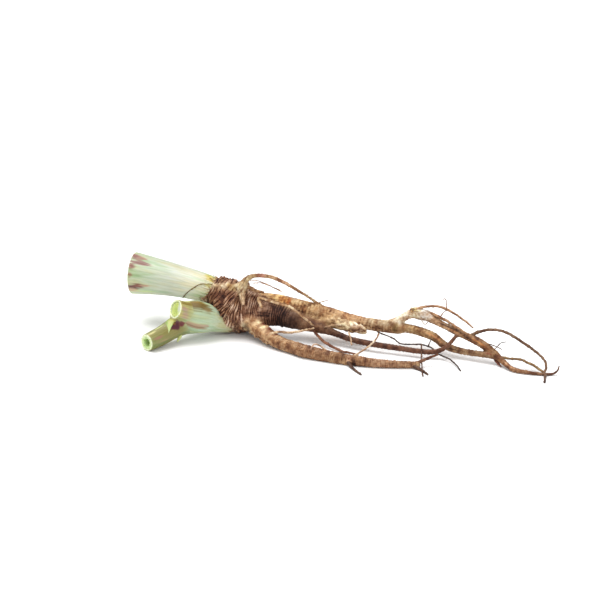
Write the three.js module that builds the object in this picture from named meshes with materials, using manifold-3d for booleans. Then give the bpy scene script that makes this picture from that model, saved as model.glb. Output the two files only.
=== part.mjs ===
// A fresh dong quai root lying on its side, as it was lifted, washed and trimmed:
// a thick crown with two cut shoots, a short body, and the branch roots that leave it.
// Millimetres. +X runs from the cut shoots to the root tips, +Y to the back, +Z up.
// The origin is on the ground, under the middle of the whole root.
import * as THREE from 'three';
import { mergeVertices } from 'three/addons/utils/BufferGeometryUtils.js';
import Module from 'manifold-3d';

const wasm = await Module();
wasm.setup();
const { Manifold, Mesh } = wasm;

// ---------------------------------------------------------------- driving dimensions

// The middle of the crown, from the middle of the whole root. All stations are measured from it.
const crownPlace = new THREE.Vector3(-60.5, 26.5, 0);

const gap = 0.3; // between a leaf base and what it grows from
const upperWall = 2.6; // thickness of the outer leaf base of the upper shoot, at its cut
const innerWall = 2.3; // thickness of the leaf base inside it
const nestShift = 0.6; // how far each leaf base sits off the middle of the one round it
const innerSeat = 4; // how far from the root the inner leaf base starts
const heartSeat = 14; // and the young leaf in the middle
const petioleBore = 0.45; // share of the lower petiole's width that is hollow
const boreDepth = 16;
const knifeSize = 60; // edge of the block that a cut takes away
const groundSize = 400;

// A station is [x, y, z, radius]. Each list is the centre line of one limb, from its base to its tip.
const crownLine = [
  [-17.5, 3.5, 27.6, 8.2],
  [-11, 1.5, 24, 13.4],
  [-3, 0.3, 17.4, 17.7],
  [5, -2, 15, 14.4],
  [9, -3, 15.2, 12.8],
  [17, -6.5, 15.6, 9.8],
];
const budLine = [
  [4, -3, 12, 9],
  [-1, -5.5, 9.4, 7.6],
  [-5, -7, 8.2, 6.2],
];
const bodyLine = [
  [10, -4, 15.5, 11],
  [21, -9.5, 15.2, 7.5],
  [33, -13.5, 13.8, 6.7],
  [43, -17, 11.2, 4.7],
  [53, -21, 9.6, 3.4],
];
const mainRootLine = [
  [5, 0, 18.5, 6.5],
  [15, -2.5, 21.1, 5.4],
  [24, -5.5, 21.8, 5.2],
  [34.5, -9, 20.6, 5.1],
  [47, -12, 17.8, 5],
  [58.5, -14.5, 15.8, 4.6],
  [72.5, -18.5, 13.5, 3.9],
  [87, -23, 11.6, 3.5],
  [101, -29, 11.4, 3.1],
];
const lowForkLine = [
  [97, -27, 12, 3],
  [111, -33, 12.3, 2.9],
  [122, -40, 10.2, 2.6],
  [129.5, -46, 6.2, 2.2],
  [141, -53, 4.9, 1.9],
  [149, -57, 5, 1.8],
  [157, -61, 5.2, 1.8],
];
const highForkLine = [
  [84, -22, 13, 2.6],
  [95, -26, 13.9, 2.5],
  [102, -28, 17.4, 2.5],
  [109, -29.5, 21.6, 2.9],
  [115, -32, 22.3, 3.2],
  [121, -36, 20.4, 2.4],
  [127, -41, 18.6, 2],
  [137, -47, 15.1, 2.1],
  [149, -54, 11.4, 2.4],
  [157, -60, 6.9, 2.1],
  [162, -67, 3.6, 1.7],
  [167, -74.5, 1.8, 1.4],
  [176.5, -79, 1.3, 1.1],
  [185, -80.5, 1, 0.9],
  [190, -80, 1.2, 0.8],
  [192.5, -79.6, 3.2, 0.6],
  [193, -79.4, 6, 0.5],
];
const lowRootLine = [
  [1, -5, 11, 6],
  [8.5, -13.5, 9.4, 5.2],
  [16, -22.5, 7.4, 5],
  [25, -33, 4.9, 4],
  [32.5, -39.5, 4.1, 3.7],
  [43, -49, 3.9, 3.7],
  [55.5, -55.5, 3.4, 3.4],
  [70, -62, 3.1, 3.1],
  [88, -66.5, 2.5, 2.5],
  [110, -67.5, 2, 1.9],
];
const stumpRootLine = [
  [30, -6, 18.2, 3.6],
  [47, -12, 13.4, 3.9],
  [58.5, -18, 12.8, 3.5],
  [68, -23, 11.9, 3.5],
  [75, -27, 11.3, 3.3],
  [79.5, -30, 10.9, 2.2],
];
const slenderRootLine = [
  [44, -19, 11, 4],
  [53, -22.5, 9.6, 3.2],
  [62, -27, 7.8, 2.1],
  [71, -32, 5.9, 1.8],
  [81, -37, 5, 1.8],
  [91, -41, 4.5, 1.7],
  [101, -45, 4.4, 1.6],
  [113, -49.5, 4.1, 1.6],
  [123, -51.8, 4.8, 1.5],
  [129, -51.5, 7.8, 1.3],
  [135, -49.5, 14, 1],
];
const archedRootLine = [
  [3, -9, 32, 2.1],
  [4.4, -9, 36, 2.1],
  [9.5, -9.5, 39.9, 1.5],
  [20, -11, 40.2, 1.2],
  [29, -12, 36.9, 1.1],
  [39, -12.5, 31, 0.9],
  [46, -12.5, 26.4, 0.8],
  [52, -12, 22, 0.7],
];

// The broken point of the knot on the high fork.
const knotPointLine = [
  [114, -31, 22, 3],
  [118, -32.5, 22, 2.5],
  [122.5, -34, 21, 1.7],
  [127, -36, 19.6, 0.6],
];

// The foot that the arched root spreads over the crown, with an arm to each side.
const archFootLines = {
  foot: [
    [2.7, -10.2, 33.3, 2.5],
    [3, -12, 30.5, 2.3],
    [3.4, -14.3, 27.4, 1.8],
    [3.8, -16.2, 24, 1.1],
  ],
  leftArm: [
    [3, -8.5, 33.4, 1.4],
    [-1, -7.4, 33, 1.3],
    [-6, -8, 32.8, 1.1],
    [-11, -7, 32.6, 0.9],
    [-15, -5.5, 32.4, 0.7],
  ],
  rightArm: [
    [4, -8, 33.5, 1.5],
    [7.5, -7, 31.8, 1.2],
    [12, -8, 29.8, 1],
    [17, -7.8, 28.6, 0.7],
  ],
};

// The rootlets that are as thick as string. Finer ones are hairs on the surface.
const rootletLines = {
  loop: [
    [143, -50, 13.8, 1.1],
    [147.5, -51, 16.8, 1.1],
    [154, -53, 19.2, 1],
    [161, -56, 19.8, 0.9],
    [167.5, -59, 17.8, 0.9],
    [175, -64, 14, 0.9],
    [181.5, -69, 10.2, 0.8],
    [185.5, -74, 6.8, 0.8],
    [185.6, -78, 3.4, 0.8],
    [184, -80.4, 1.2, 0.8],
  ],
  bridge: [
    [112.3, -31, 24.5, 1.3],
    [115.3, -31.5, 26.4, 1],
    [122, -32, 27.5, 0.8],
    [127.5, -33, 27, 0.8],
    [131.2, -34, 25.6, 0.8],
    [136, -36, 23.3, 0.7],
    [140.8, -38, 20.4, 0.7],
    [146.1, -42, 16.6, 0.6],
  ],
  twin: [
    [120.7, -34.5, 23.5, 1.1],
    [125.8, -39.5, 22.6, 0.9],
    [130.1, -43, 21.4, 0.8],
    [133.8, -46.5, 19.8, 0.8],
    [137.8, -50, 18, 0.7],
    [141.7, -53, 16.4, 0.6],
  ],
  wiggle: [
    [158, -62, 5.4, 1],
    [165, -65.5, 5.4, 0.8],
    [171, -67.5, 5.6, 0.8],
    [177.5, -71, 4, 0.8],
    [184.5, -79, 1.6, 0.8],
  ],
  frontTip: [
    [185, -80.5, 1.1, 0.9],
    [184, -86, 0.8, 0.7],
    [182.5, -92.5, 0.7, 0.6],
  ],
  raisedEnd: [
    [107, -67.5, 2.2, 1.2],
    [115, -65, 4.6, 0.9],
    [122.5, -62, 6.6, 0.7],
  ],
  fallenEnd: [
    [107, -67.8, 2, 1.2],
    [111.5, -72.5, 1, 0.9],
    [115.5, -79.5, 0.7, 0.6],
  ],
  nodeRootlet: [
    [68.5, -63, 2.6, 1.2],
    [71.5, -71, 1, 0.8],
    [76, -80, 0.7, 0.6],
  ],
  hangingEnd: [
    [156.5, -60.5, 5, 1],
    [159, -63.5, 1.8, 0.8],
    [160.5, -66.5, 0.7, 0.6],
  ],
  underStrand: [
    [47, -21, 9.6, 1.4],
    [48.7, -24, 8.4, 1],
    [52.8, -29, 4.7, 0.9],
    [58.2, -34, 2.4, 0.9],
    [64.8, -40, 1.1, 0.8],
    [70.7, -46, 1.7, 0.7],
    [75, -52, 2.4, 0.6],
  ],
  spurRootlet: [
    [15.4, -17, 22, 0.9],
    [14.1, -14.9, 24.6, 1],
    [13.4, -13.4, 26.8, 1],
    [16.4, -15.5, 26.9, 0.8],
    [21.5, -18.5, 26.1, 0.8],
    [27.2, -21, 25.2, 0.7],
    [33.7, -23, 23.7, 0.7],
    [39.4, -24.5, 19.8, 0.7],
    [44.1, -25, 16, 0.6],
    [48.2, -24, 12, 0.5],
  ],
  paleRootlet: [
    [20, -31, 8.2, 1.1],
    [26, -31.5, 10.4, 0.8],
    [33, -31, 9.8, 0.7],
    [42, -30.5, 11, 0.7],
    [48, -29.5, 12.2, 0.5],
  ],
};

const upperShootLine = [
  [-13, 2, 24.8, 9],
  [-19, 4, 26.8, 9.7],
  [-31, 9, 28.8, 10.6],
  [-50, 17, 30.6, 12.4],
  [-69, 25, 31.3, 14.7],
  [-80, 29.5, 31.6, 16],
];
const upperCut = { at: [-69.2, 25.3, 31.2], facing: [-0.975, 0.2, 0.03] };

const sheathLine = [
  [-6, -7.6, 7.6, 5.8],
  [-12, -9.5, 9.2, 6.6],
  [-18.8, -11.5, 12.3, 9.2],
  [-26.4, -14.2, 14.6, 10.3],
];
const lowerPetioleLine = [
  [-26, -13, 11.5, 6],
  [-34.5, -17.5, 10.3, 6.4],
  [-41, -23.5, 9.2, 6.3],
  [-46.5, -29, 7.2, 6],
  [-55.5, -37.5, 5.3, 5.4],
  [-63.5, -45, 3.6, 5.2],
];
// The tip of the sheath, torn off the upper petiole and fallen over the lower one.
const flapLine = [
  [-38.5, -22.5, 14.6, 2.4],
  [-41.5, -25.5, 15.2, 2.9],
  [-42.4, -29.2, 12.8, 2.3],
  [-42.6, -32, 10, 1],
];
const lowerCut = { at: [-55.5, -37.5, 5.3], facing: [-0.66, -0.74, 0.05] };

const upperPetioleLine = [
  [-16, -10.5, 11.4, 4.8],
  [-20, -11.8, 12.7, 5.6],
  [-25, -13.8, 15.4, 6.6],
  [-32, -17.3, 18.8, 6.8],
  [-38.5, -21, 21.9, 6.9],
  [-45, -24.7, 25.6, 7.3],
];
const upperPetioleCut = { at: [-38.5, -21, 21.9], facing: [-0.79, -0.44, 0.43] };

// ---------------------------------------------------------------- geometry

const vector = ([x, y, z]) => new THREE.Vector3(x, y, z);

// A closed three.js geometry as a solid that can be joined and cut.
function solid(geometry) {
  geometry.deleteAttribute('normal');
  geometry.deleteAttribute('uv');
  const merged = mergeVertices(geometry);
  const corners = merged.index.array;
  const triVerts = [];
  for (let i = 0; i < corners.length; i += 3) {
    const [a, b, c] = [corners[i], corners[i + 1], corners[i + 2]];
    if (a !== b && b !== c && c !== a) triVerts.push(a, b, c);
  }
  return new Manifold(new Mesh({
    numProp: 3,
    vertProperties: merged.attributes.position.array,
    triVerts: new Uint32Array(triVerts),
  }));
}

const round = () => 1;

// A limb is a round lathe blank with domed ends, bent along its centre line.
// The shape gives the girth at an angle round the limb and at a place from 0 to 1 along it.
function limb(stations, { sides, rings, shape = round, capSteps = 2 }) {
  const line = new THREE.CatmullRomCurve3(stations.map(vector));
  const girth = new THREE.SplineCurve(stations.map((s, i) => new THREE.Vector2(i, s[3])));
  const stops = [];
  for (let i = -capSteps - 1; i <= rings + capSteps + 1; i += 1) {
    const past = i < 0 ? i : Math.max(0, i - rings);
    const dome = (past / (capSteps + 1)) * (Math.PI / 2);
    const t = THREE.MathUtils.clamp(i / rings, 0, 1);
    const radius = girth.getPoint(t).y;
    const isPole = Math.abs(past) === capSteps + 1;
    stops.push({ t, radius: isPole ? 0 : radius * Math.cos(dome), ahead: radius * Math.sin(dome) });
  }
  const profile = stops.map((stop, i) => new THREE.Vector2(stop.radius, i));
  const geometry = new THREE.LatheGeometry(profile, sides);

  let tangent = line.getTangent(0);
  let side = new THREE.Vector3(0, 0, 1).cross(tangent).normalize();
  for (const stop of stops) {
    const next = line.getTangent(stop.t);
    side.applyQuaternion(new THREE.Quaternion().setFromUnitVectors(tangent, next));
    tangent = next;
    stop.side = side.clone();
    stop.up = new THREE.Vector3().crossVectors(side, tangent);
    stop.centre = line.getPoint(stop.t).addScaledVector(tangent, stop.ahead);
  }

  const position = geometry.attributes.position;
  const place = new THREE.Vector3();
  for (let i = 0; i < position.count; i += 1) {
    place.fromBufferAttribute(position, i);
    const stop = stops[Math.round(place.y)];
    const girthHere = shape(Math.atan2(place.z, place.x), stop.t);
    const { x, z } = place;
    place.copy(stop.centre);
    place.addScaledVector(stop.side, x * girthHere).addScaledVector(stop.up, z * girthHere);
    position.setXYZ(i, place.x, place.y, place.z);
  }
  return solid(geometry);
}

// The same centre line, thicker by a margin, thinner by a negative one, and moved sideways.
function resized(stations, margin, shift = [0, 0, 0]) {
  return stations.map(([x, y, z, r]) => [x + shift[0], y + shift[1], z + shift[2], r + margin]);
}

// A block that takes away all that lies past a cut.
function knife({ at, facing }) {
  const outward = vector(facing).normalize();
  const block = new THREE.BoxGeometry(knifeSize, knifeSize, knifeSize);
  block.translate(0, 0, knifeSize / 2);
  block.applyQuaternion(new THREE.Quaternion().setFromUnitVectors(new THREE.Vector3(0, 0, 1), outward));
  block.translate(...at);
  return solid(block);
}

function ground() {
  const block = new THREE.BoxGeometry(groundSize, groundSize, groundSize);
  block.translate(0, 0, -groundSize / 2);
  return solid(block);
}

function piece(name, body, colour, roughness) {
  const { vertProperties, triVerts } = body.getMesh();
  const geometry = new THREE.BufferGeometry();
  geometry.setAttribute('position', new THREE.BufferAttribute(vertProperties, 3));
  geometry.setIndex(new THREE.BufferAttribute(triVerts, 1));
  geometry.computeVertexNormals();
  const material = new THREE.MeshStandardMaterial({ color: colour, roughness, metalness: 0 });
  const mesh = new THREE.Mesh(geometry, material);
  mesh.name = name;
  return mesh;
}

// ---------------------------------------------------------------- the root, which grew as one piece

// Old leaf scars leave the crown lumpy: broad lobes that turn as they run along it.
const lumpy = (angle, t) => 1 + 0.03 * Math.sin(3 * angle + 5 * t) + 0.02 * Math.sin(5 * angle - 9 * t);
// The branches have slacker bends in their skin.
const uneven = (angle, t) => 1 + 0.05 * Math.sin(2 * angle + 7 * t) + 0.03 * Math.sin(3 * angle - 16 * t);

function growRoot(margin) {
  const limbs = [
    limb(resized(crownLine, margin), { sides: 20, rings: 16, shape: lumpy }),
    limb(resized(budLine, margin), { sides: 14, rings: 5, shape: lumpy }),
    limb(resized(bodyLine, margin), { sides: 14, rings: 10, shape: lumpy }),
    limb(resized(mainRootLine, margin), { sides: 11, rings: 22, shape: uneven }),
    limb(resized(lowRootLine, margin), { sides: 11, rings: 20, shape: uneven }),
    limb(resized(archedRootLine, margin), { sides: 7, rings: 18, shape: uneven, capSteps: 1 }),
    ...Object.values(archFootLines).map((line) =>
      limb(resized(line, margin), { sides: 7, rings: 2 * line.length - 2, capSteps: 1 })),
  ];
  return limbs.reduce((whole, next) => whole.add(next));
}

function growBranches() {
  const limbs = [
    limb(lowForkLine, { sides: 8, rings: 16, shape: uneven, capSteps: 1 }),
    limb(highForkLine, { sides: 8, rings: 34, shape: uneven, capSteps: 1 }),
    limb(stumpRootLine, { sides: 10, rings: 9, shape: uneven }),
    limb(slenderRootLine, { sides: 7, rings: 22, shape: uneven, capSteps: 1 }),
    limb(knotPointLine, { sides: 8, rings: 6, capSteps: 1 }),
  ];
  const rootlets = Object.values(rootletLines).map((line) =>
    limb(line, { sides: 6, rings: 2 * line.length - 2, capSteps: 1 }));
  return [...limbs, ...rootlets].reduce((whole, next) => whole.add(next));
}

const root = growRoot(0).add(growBranches()).subtract(ground());
const rootSocket = growRoot(gap);

// ---------------------------------------------------------------- the upper shoot: leaf bases in a nest

// Each leaf base is thick on one side and thin on the other, where its margins meet,
// and the next one inside it is turned to the opposite side.
const flattened = (angle) => 1 + 0.04 * Math.cos(2 * angle);
const bothWalls = upperWall + innerWall;
const above = [0, 0, nestShift];
const below = [0, 0, -nestShift];
const upperShoot = (margin, shift) =>
  limb(resized(upperShootLine, margin, shift), { sides: 24, rings: 10, shape: flattened });

const outerHollow = upperShoot(-upperWall, above).subtract(growRoot(innerSeat));
const innerLeaf = upperShoot(-upperWall - gap, above).subtract(growRoot(innerSeat + gap));
const heartHollow = upperShoot(-bothWalls, below).subtract(growRoot(heartSeat));
const heartLeaf = upperShoot(-bothWalls - gap, below).subtract(growRoot(heartSeat + gap));
const upperKnife = knife(upperCut);

const upperOuterLeafBase = upperShoot(0).subtract(outerHollow).subtract(rootSocket).subtract(upperKnife);
const upperInnerLeafBase = innerLeaf.subtract(heartHollow).subtract(upperKnife);
const upperHeartLeaf = heartLeaf.subtract(upperKnife);

// ---------------------------------------------------------------- the lower shoot: one sheath, two petioles

const petiole = limb(lowerPetioleLine, { sides: 16, rings: 12 });
const boreEnd = vector(lowerCut.at).addScaledVector(vector(lowerCut.facing).normalize(), -boreDepth);
const boreLine = lowerPetioleLine
  .filter(([x]) => x < boreEnd.x)
  .map(([x, y, z, r]) => [x, y, z, r * petioleBore]);
const bore = limb(boreLine, { sides: 10, rings: 6 });

const oval = (angle) => 1 + 0.12 * Math.cos(2 * angle);
const upperPetiole = (margin) =>
  limb(resized(upperPetioleLine, margin), { sides: 16, rings: 10, shape: oval });
const innerPetiole = upperPetiole(0).subtract(rootSocket).subtract(knife(upperPetioleCut));

const leafy = (angle) => 1 / Math.hypot(Math.cos(angle), Math.sin(angle) / 0.4);
const flap = limb(flapLine, { sides: 10, rings: 8, shape: leafy, capSteps: 1 });
const lowerOuterLeafBase = limb(sheathLine, { sides: 20, rings: 12 })
  .add(petiole)
  .add(flap)
  .subtract(upperPetiole(gap))
  .subtract(bore)
  .subtract(rootSocket)
  .subtract(knife(lowerCut))
  .subtract(ground());

// ---------------------------------------------------------------- the whole

const leafWhite = 0xdfe9d2;
const leafGreen = 0xc9d8b4;
const stalkYellow = 0xd6e2a2;
const bark = 0x8a6443;

const dongQuai = new THREE.Group();
dongQuai.add(
  piece('branched_root', root, bark, 0.85),
  piece('upper_outer_leaf_base', upperOuterLeafBase, leafWhite, 0.5),
  piece('upper_inner_leaf_base', upperInnerLeafBase, leafGreen, 0.5),
  piece('upper_heart_leaf', upperHeartLeaf, stalkYellow, 0.5),
  piece('lower_outer_leaf_base', lowerOuterLeafBase, leafGreen, 0.5),
  piece('lower_inner_leaf_base', innerPetiole, stalkYellow, 0.5),
);
dongQuai.position.copy(crownPlace);

export default dongQuai;
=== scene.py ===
"""A fresh dong quai root, lying on its side: the looks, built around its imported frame.

Stations and places are in millimetres from the point on the ground under the middle of the crown,
and they become metres where a mesh is made. A station is [x, y, z, radius].
"""
import math
import random
from types import SimpleNamespace

import bmesh
import bpy
import numpy as np
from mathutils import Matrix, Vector, noise
from mathutils.bvhtree import BVHTree


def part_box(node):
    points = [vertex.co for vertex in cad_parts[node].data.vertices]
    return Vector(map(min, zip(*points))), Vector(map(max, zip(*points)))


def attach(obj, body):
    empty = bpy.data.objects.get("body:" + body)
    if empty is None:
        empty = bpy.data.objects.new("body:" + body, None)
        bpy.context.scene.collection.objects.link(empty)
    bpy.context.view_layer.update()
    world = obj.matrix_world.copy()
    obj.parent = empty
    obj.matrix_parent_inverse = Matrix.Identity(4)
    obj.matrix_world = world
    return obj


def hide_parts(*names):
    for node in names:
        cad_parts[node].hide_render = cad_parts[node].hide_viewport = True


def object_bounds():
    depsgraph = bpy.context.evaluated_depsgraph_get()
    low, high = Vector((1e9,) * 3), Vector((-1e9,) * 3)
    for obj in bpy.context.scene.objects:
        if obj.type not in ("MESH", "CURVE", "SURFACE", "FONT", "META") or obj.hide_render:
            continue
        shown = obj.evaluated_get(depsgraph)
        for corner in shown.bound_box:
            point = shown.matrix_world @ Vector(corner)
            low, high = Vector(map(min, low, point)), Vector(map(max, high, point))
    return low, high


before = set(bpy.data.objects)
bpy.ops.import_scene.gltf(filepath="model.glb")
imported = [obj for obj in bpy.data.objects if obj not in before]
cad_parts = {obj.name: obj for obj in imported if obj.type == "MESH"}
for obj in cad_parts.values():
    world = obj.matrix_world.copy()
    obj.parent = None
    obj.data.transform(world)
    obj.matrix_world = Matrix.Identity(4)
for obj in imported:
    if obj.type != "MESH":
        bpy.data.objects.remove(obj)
cad_low, cad_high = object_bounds()

# ---- The root ------------------------------------------------------------------------------
# Crown, body and branch roots grew as one fleshy piece under a thin cork skin. The crown is
# ringed by the scars of old leaf bases, the golden main root by rows of raised lenticels.

mm = 0.001
tip_reach = 193.5  # from the crown's middle to the end of the longest branch
front_reach = 93.1  # and to the rootlet that lies furthest forward
ground_gap = 0.02  # between the skin and the ground
root_low, root_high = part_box("branched_root")
crown_place = np.array([root_high.x - tip_reach * mm, root_low.y + front_reach * mm, root_low.z])


def linear(hex_colour):
    """A colour written as sRGB hex, as the linear red, green, blue and alpha that shaders take."""
    shares = [int(hex_colour[i:i + 2], 16) / 255 for i in (1, 3, 5)]
    return [s / 12.92 if s <= 0.04045 else ((s + 0.055) / 1.055) ** 2.4 for s in shares] + [1.0]


def grain(points):
    """Soft noise from about -1 to 1, one value for each point."""
    return np.array([noise.noise(p) for p in points.tolist()])


def eased(values, low, high):
    """0 below low, 1 above high and a smooth rise between."""
    share = np.clip((values - low) / (high - low), 0, 1)
    return share * share * (3 - 2 * share)


def smooth_line(stations, spacing):
    """Rows of x, y, z and radius about a spacing apart on a smooth curve through the stations."""
    rows = np.array(stations, float)
    rows = np.vstack([2 * rows[0] - rows[1], rows, 2 * rows[-1] - rows[-2]])
    gaps = np.linalg.norm(np.diff(rows[:, :3], axis=0), axis=1)
    knots = np.sqrt(gaps)
    line = []
    for i in range(1, len(rows) - 2):
        a, b, c = knots[i - 1], knots[i], knots[i + 1]
        before, here, after, beyond = rows[i - 1:i + 3]
        step = after - here
        leaving = ((here - before) / a - (after - before) / (a + b)) * b + step
        arriving = ((beyond - after) / c - (beyond - here) / (b + c)) * b + step
        count = max(2, math.ceil(gaps[i] / spacing))
        t = np.arange(count)[:, None] / count
        line.append(
            here * (1 + 2 * t) * (1 - t) ** 2
            + leaving * t * (1 - t) ** 2
            + after * t * t * (3 - 2 * t)
            - arriving * t * t * (1 - t)
        )
    line.append(rows[-2:-1])
    return np.vstack(line)


class Limb:
    """A centre line with its girth, the colours along it and the relief of its skin.

    Its section is an oval, wide and tall times its girth. A leaf base is rolled: its outer margin
    lies over the inner one, and the overlap is the step between them, in millimetres.
    """

    def __init__(self, stations, tints=("#FFFFFF",), skin=None, wide=1, tall=1, overlap=0, spacing=1.6):
        line = smooth_line(stations, spacing)
        self.centre = line[:, :3]
        self.girth = line[:, 3]
        self.ahead = np.gradient(self.centre, axis=0)
        self.ahead /= np.linalg.norm(self.ahead, axis=1)[:, None]
        side = np.cross((0, 0, 1), self.ahead[0])
        sides = []
        for direction in self.ahead:
            side = side - direction * side.dot(direction)
            side /= np.linalg.norm(side)
            sides.append(side)
        self.side = np.array(sides)
        self.up = np.cross(self.side, self.ahead)
        steps = np.linalg.norm(np.diff(self.centre, axis=0), axis=1)
        self.along = np.concatenate([[0], np.cumsum(steps)])
        self.length = self.along[-1]
        self.tints = np.array([linear(tint) for tint in tints])
        self.skin = skin
        self.wide, self.tall, self.overlap = wide, tall, overlap

    def pick(self, rows, along):
        """Values of the line at distances along it."""
        if rows.ndim == 1:
            return np.interp(along, self.along, rows)
        return np.stack([np.interp(along, self.along, column) for column in rows.T], -1)

    def reach(self, along, angle):
        """How far the skin is from the line, at distances along it and angles round it."""
        oval = 1 / np.hypot(np.cos(angle) / self.wide, np.sin(angle) / self.tall)
        rolled_under = (angle / (2 * np.pi) + 0.5) % 1
        return self.pick(self.girth, along) * oval - self.overlap * rolled_under

    def at(self, along, angle, radius):
        """Places at distances along the line, angles round it and distances out from it."""
        outward = self.pick(self.side, along) * np.cos(angle)[..., None]
        outward = outward + self.pick(self.up, along) * np.sin(angle)[..., None]
        return self.pick(self.centre, along) + outward * radius[..., None]

    def tint(self, along):
        """The colour at distances along the line."""
        stops = np.linspace(0, self.length, len(self.tints))
        return np.stack([np.interp(along, stops, column) for column in self.tints.T], -1)

    def rings(self, sides, dome=(30, 60, 90)):
        """The corners of a tube round the line, with a dome at both ends, given by its angles."""
        turn = np.linspace(0, 2 * np.pi, sides, endpoint=False)
        along, angle = np.meshgrid(self.along, turn, indexing="ij")
        tube = self.at(along, angle, self.reach(along, angle))
        domes = []
        for end, ahead in ((0, -self.ahead[0]), (-1, self.ahead[-1])):
            middle, girth = self.centre[end], self.girth[end] * min(self.wide, self.tall)
            domes.append([
                middle + (tube[end] - middle) * math.cos(lean) + ahead * girth * math.sin(lean)
                for lean in np.radians(dome)
            ])
        return np.concatenate([domes[0][::-1], tube, domes[1]])

    def look(self, points):
        """Where points lie from this limb: along it, round it, and out from its skin."""
        starts = self.centre[:-1]
        runs = np.diff(self.centre, axis=0)
        squares = (runs ** 2).sum(1)
        found, along = [], []
        for some in np.array_split(points, len(points) // 3000 + 1):
            offset = some[:, None] - starts
            share = np.clip(np.einsum("cmi,mi->cm", offset, runs) / squares, 0, 1)
            rest = offset - share[..., None] * runs
            nearest = np.einsum("cmi,cmi->cm", rest, rest).argmin(1)
            rows = np.arange(len(some))
            found.append(rest[rows, nearest])
            along.append(self.along[nearest] + share[rows, nearest] * np.sqrt(squares[nearest]))
        rest, along = np.concatenate(found), np.concatenate(along)
        far = np.maximum(np.linalg.norm(rest, axis=1), 1e-6)
        cosine = (rest * self.pick(self.side, along)).sum(1)
        sine = (rest * self.pick(self.up, along)).sum(1)
        girth = self.pick(self.girth, along)
        angle = np.arctan2(sine, cosine)
        return SimpleNamespace(
            along=along,
            share=along / self.length,
            girth=girth,
            angle=angle,
            gap=far - self.reach(along, angle),
            outward=rest / far[:, None],
            straight=np.column_stack([girth * np.cos(angle), girth * np.sin(angle), along]),
        )


def paint(mesh, name, values):
    """Stores a number, a place or a colour at each corner of a mesh, for its material to read."""
    values = np.asarray(values, np.float32)
    kinds = {1: ("FLOAT", "value"), 3: ("FLOAT_VECTOR", "vector"), 4: ("FLOAT_COLOR", "color")}
    kind, field = kinds[1 if values.ndim == 1 else values.shape[-1]]
    layer = mesh.attributes.new(name, kind, "POINT")
    layer.data.foreach_set(field, values.ravel())


def corners(mesh):
    """The corners of a mesh, as rows of x, y and z."""
    flat = np.empty(len(mesh.vertices) * 3, np.float32)
    mesh.vertices.foreach_get("co", flat)
    return flat.reshape(-1, 3).astype(float)


def place_corners(mesh, points):
    """Puts the corners of a mesh at places given from the crown."""
    mesh.vertices.foreach_set("co", (points * mm + crown_place).astype(np.float32).ravel())
    mesh.update()


def rolled(rings):
    """A sheet of quads rolled into a tube through rings of corners, welded at its seam and poles."""
    count, around = rings.shape[:2]
    bm = bmesh.new()
    bmesh.ops.create_grid(bm, x_segments=around, y_segments=count - 1, size=0.5)
    mesh = bpy.data.meshes.new("rolled")
    bm.to_mesh(mesh)
    sheet = corners(mesh)
    low, size = sheet.min(0), np.ptp(sheet, axis=0)
    column = np.rint((sheet[:, 0] - low[0]) / size[0] * around).astype(int) % around
    row = np.rint((sheet[:, 1] - low[1]) / size[1] * (count - 1)).astype(int)
    place_corners(mesh, rings[row, column])
    bm.clear()
    bm.from_mesh(mesh)
    bmesh.ops.remove_doubles(bm, verts=bm.verts, dist=1e-6)
    bmesh.ops.recalc_face_normals(bm, faces=bm.faces)
    bm.to_mesh(mesh)
    bm.free()
    return mesh


def joined(name, meshes):
    """One object from several meshes, smooth all over."""
    bm = bmesh.new()
    for mesh in meshes:
        bm.from_mesh(mesh)
        bpy.data.meshes.remove(mesh)
    whole = bpy.data.meshes.new(name)
    bm.to_mesh(whole)
    bm.free()
    whole.shade_smooth()
    piece = bpy.data.objects.new(name, whole)
    bpy.context.scene.collection.objects.link(piece)
    return piece


def drawn_on(mesh, limbs, fillet):
    """Draws the corners of a mesh onto the limbs, with a fillet where they meet."""
    points = (corners(mesh) - crown_place) / mm
    near, push = 0, 0
    for limb in limbs:
        place = limb.look(points)
        weight = np.exp(-np.clip(place.gap, -3 * fillet, 12 * fillet) / fillet)
        near = near + weight
        push = push + weight[:, None] * place.outward
    push /= near[:, None]
    push /= np.maximum(np.linalg.norm(push, axis=1), 0.5)[:, None]
    place_corners(mesh, points + push * (fillet * np.log(near))[:, None])


def evened(mesh, rounds):
    """Relaxes the corners of a mesh, so that its faces are even."""
    bm = bmesh.new()
    bm.from_mesh(mesh)
    for _ in range(rounds):
        bmesh.ops.smooth_vert(
            bm, verts=bm.verts, factor=0.5, use_axis_x=True, use_axis_y=True, use_axis_z=True
        )
    bm.to_mesh(mesh)
    bm.free()


def applied(piece):
    """The mesh of a piece with its modifiers worked in. They then leave the piece."""
    mesh = bpy.data.meshes.new_from_object(piece.evaluated_get(bpy.context.evaluated_depsgraph_get()))
    piece.modifiers.clear()
    return mesh


def wrapped(piece, face_size):
    """One skin of small even faces over all that a piece is made of."""
    wrap = piece.modifiers.new("wrap", "REMESH")
    wrap.mode = "VOXEL"
    wrap.voxel_size = face_size * mm
    return applied(piece)


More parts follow.
